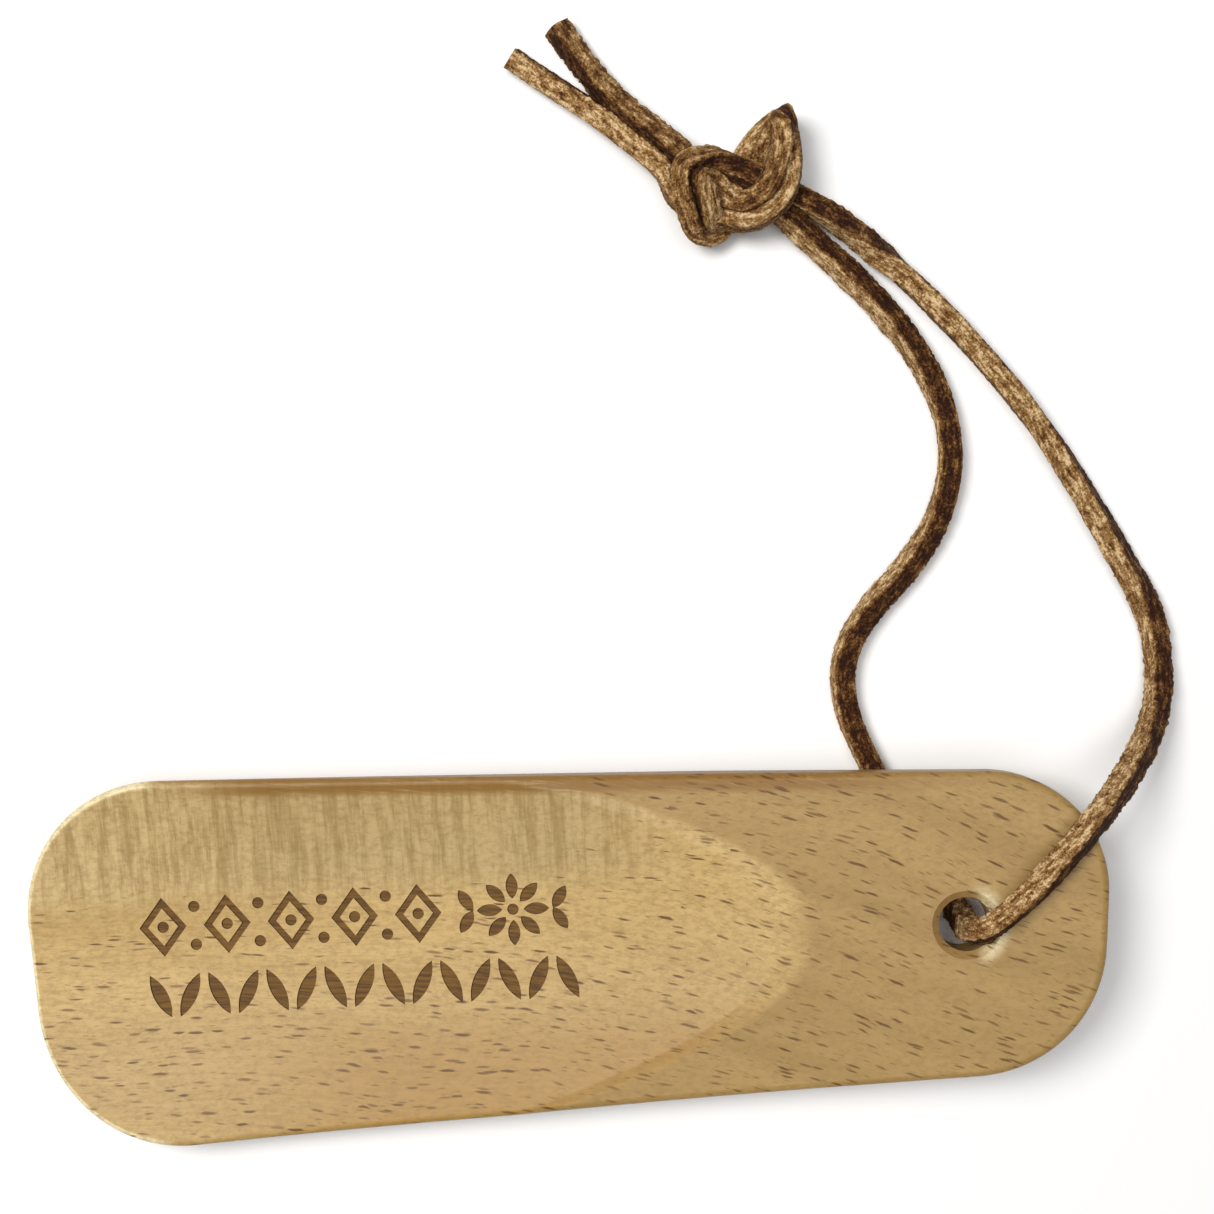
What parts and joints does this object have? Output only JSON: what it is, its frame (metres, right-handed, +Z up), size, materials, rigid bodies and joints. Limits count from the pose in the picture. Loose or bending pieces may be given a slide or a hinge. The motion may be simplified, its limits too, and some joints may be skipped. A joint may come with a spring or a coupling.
{
  "type": "shoehorn",
  "caption": "Short wooden shoehorn with a dished blade, a drilled handle and a knotted leather hanging lace.",
  "frame": {"origin": "on the resting plane under the middle of the wooden body", "axes": "+X along the body towards the drilled end of the handle, +Z up out of the dished face, +Y towards the side on which the lace lies"},
  "size_m": [0.1631, 0.1554, 0.0186],
  "materials": {
    "beech": "fine-sanded beech with an oiled satin finish and a burnt-in ornament",
    "suede_lace": "square-cut brown suede lace, rough and fuzzy"
  },
  "bodies": {
    "shoehorn": {"shoehorn_body": "beech"},
    "lace": {"lace_front_strand": "suede_lace", "lace_back_strand": "suede_lace", "lace_knot": "suede_lace", "lace_tail_long": "suede_lace", "lace_tail_short": "suede_lace"}
  },
  "joints": [
    {"name": "lace_swivel", "type": "hinge", "parent": "shoehorn", "child": "lace", "pos_m": [0.0555, 0, 0], "axis": [0, 0, 1], "range_deg": [-35, 12]}
  ]
}
